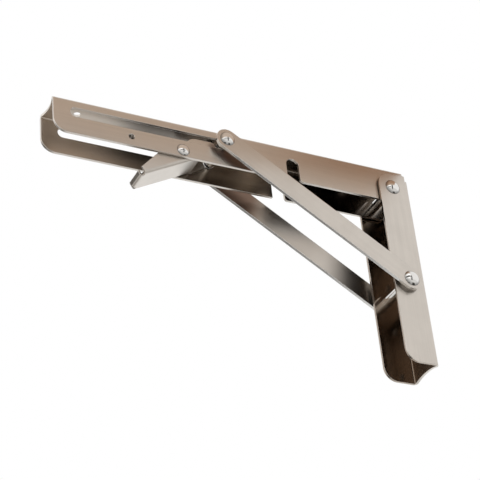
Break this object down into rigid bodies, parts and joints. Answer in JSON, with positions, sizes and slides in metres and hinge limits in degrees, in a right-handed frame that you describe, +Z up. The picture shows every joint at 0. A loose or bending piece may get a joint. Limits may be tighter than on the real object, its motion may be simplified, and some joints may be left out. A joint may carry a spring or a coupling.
{
  "type": "drop leaf table bracket",
  "caption": "Folding steel wall bracket for a drop leaf: a slotted arm channel hinged to a wall channel, held open by swinging struts and freed by a sprung lever.",
  "frame": {"origin": "on the wall face of the wall channel, at mid width, at the height of the fold axis", "axes": "+X away from the wall along the open arm, +Z up, +Y to the right for someone facing the wall"},
  "size_m": [0.3, 0.0506, 0.1778],
  "materials": {
    "sheet_steel": "satin, finely brushed along its length",
    "pin_steel": "polished",
    "washer_steel": "plain",
    "spring_steel": "drawn wire"
  },
  "bodies": {
    "wall": {"wall_channel": "sheet_steel", "corner_pin": "pin_steel", "corner_washer_right": "washer_steel", "corner_washer_left": "washer_steel", "foot_pin": "pin_steel", "foot_washer_right": "washer_steel", "foot_washer_left": "washer_steel"},
    "arm": {"arm_channel": "sheet_steel", "lever_pin": "pin_steel", "lever_spring": "spring_steel"},
    "struts": {"strut_right": "sheet_steel", "strut_left": "sheet_steel", "slide_rivet_right": "pin_steel", "slide_rivet_left": "pin_steel"},
    "slider": {"slide_pin": "pin_steel"},
    "lever": {"release_lever": "sheet_steel"}
  },
  "joints": [
    {"name": "arm_fold", "type": "hinge", "parent": "wall", "child": "arm", "pos_m": [0.0155, 0, 0], "axis": [0, 1, 0], "range_deg": [0, 90]},
    {"name": "strut_swing", "type": "hinge", "parent": "wall", "child": "struts", "pos_m": [0.0155, 0, -0.0885], "axis": [0, 1, 0], "range_deg": [0, 120.56]},
    {"name": "pin_slide", "type": "slide", "parent": "arm", "child": "slider", "axis": [1, 0, 0], "range_m": [0, 0.11667]},
    {"name": "lever_press", "type": "hinge", "parent": "arm", "child": "lever", "pos_m": [0.1974, 0, -0.0059], "axis": [0, -1, 0], "range_deg": [0, 28], "stiffness_Nm_per_rad": 0.7, "springref_deg": -11.46, "deforming": ["lever_spring"]}
  ],
  "couplings": [
    {"joint": "strut_swing", "follows": "arm_fold", "ratio": 1.3395},
    {"joint": "pin_slide", "follows": "arm_fold", "m_per_rad": 0.074271}
  ]
}
